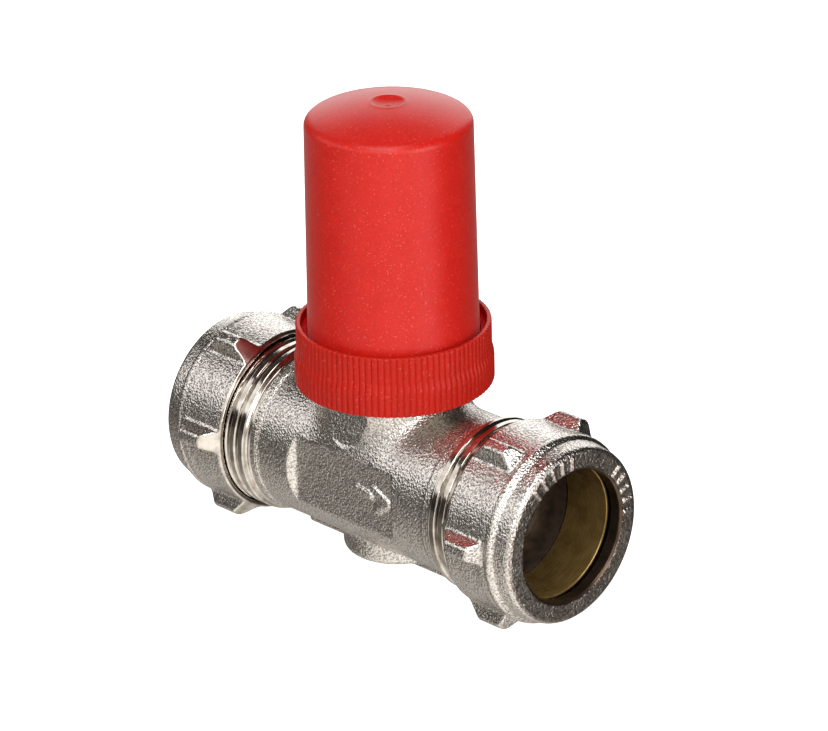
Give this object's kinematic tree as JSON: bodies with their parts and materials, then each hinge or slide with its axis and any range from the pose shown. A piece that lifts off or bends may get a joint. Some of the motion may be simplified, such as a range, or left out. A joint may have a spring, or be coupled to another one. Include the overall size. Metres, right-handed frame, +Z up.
{
  "type": "lockshield valve",
  "caption": "Straight lockshield regulating valve with compression nut ends for pipe, a vertical neck, and a tall red cover cap held by a ribbed ring.",
  "frame": {"origin": "where the axis of the two pipe ends crosses the axis of the spindle and cap", "axes": "+X along the run, the way the flow arrow points; +Z up the spindle to the top of the cap; the flat panel with the arrow faces -Y"},
  "size_m": [0.0796, 0.0362, 0.0806],
  "materials": {
    "nickel_body": "satin",
    "nickel_nut": "satin",
    "brass_olive": "satin",
    "brass_plain": "satin",
    "black_rubber": "matte",
    "white_ptfe": "satin",
    "steel": "satin",
    "red_cap": "satin",
    "red_ring": "satin"
  },
  "bodies": {
    "valve": {"valve_body": "nickel_body", "bonnet": "brass_plain", "bonnet_o_ring": "black_rubber", "thrust_washer": "white_ptfe", "gland_packing": "white_ptfe", "gland_follower": "brass_plain", "gland_nut": "brass_plain"},
    "left_olive": {"olive_left": "brass_olive"},
    "left_nut": {"compression_nut_left": "nickel_nut"},
    "right_olive": {"olive_right": "brass_olive"},
    "right_nut": {"compression_nut_right": "nickel_nut"},
    "plug": {"valve_plug": "brass_plain", "seat_washer": "black_rubber", "washer_plate": "steel", "washer_nut": "steel"},
    "spindle": {"spindle": "brass_plain", "spindle_circlip": "steel", "spindle_o_ring_lower": "black_rubber", "spindle_o_ring_upper": "black_rubber"},
    "cap": {"lockshield_cap": "red_cap"},
    "ring": {"cap_ring": "red_ring"}
  },
  "joints": [
    {"name": "left_nut_travel", "type": "slide", "parent": "valve", "child": "left_olive", "axis": [-1, 0, 0], "range_m": [0, 0.00602]},
    {"name": "left_nut_turn", "type": "hinge", "parent": "left_olive", "child": "left_nut", "pos_m": [0, 0, 0], "axis": [-1, 0, 0], "range_deg": [0, 1080]},
    {"name": "right_nut_travel", "type": "slide", "parent": "valve", "child": "right_olive", "axis": [1, 0, 0], "range_m": [0, 0.00602]},
    {"name": "right_nut_turn", "type": "hinge", "parent": "right_olive", "child": "right_nut", "pos_m": [0, 0, 0], "axis": [1, 0, 0], "range_deg": [0, 1080]},
    {"name": "spindle_turn", "type": "hinge", "parent": "valve", "child": "spindle", "pos_m": [0, 0, 0], "axis": [0, 0, 1], "range_deg": [0, 960]},
    {"name": "plug_lift", "type": "slide", "parent": "valve", "child": "plug", "axis": [0, 0, 1], "range_m": [0, 0.00402]},
    {"name": "cap_lift", "type": "slide", "parent": "valve", "child": "cap", "axis": [0, 0, 1], "range_m": [0, 0.045]},
    {"name": "ring_turn", "type": "hinge", "parent": "cap", "child": "ring", "pos_m": [0, 0, 0], "axis": [0, 0, 1], "range_deg": [0, 1080]}
  ],
  "couplings": [
    {"joint": "left_nut_travel", "follows": "left_nut_turn", "m_per_rad": 0.00031831},
    {"joint": "right_nut_travel", "follows": "right_nut_turn", "m_per_rad": 0.00031831},
    {"joint": "plug_lift", "follows": "spindle_turn", "m_per_rad": 0.00023873}
  ]
}
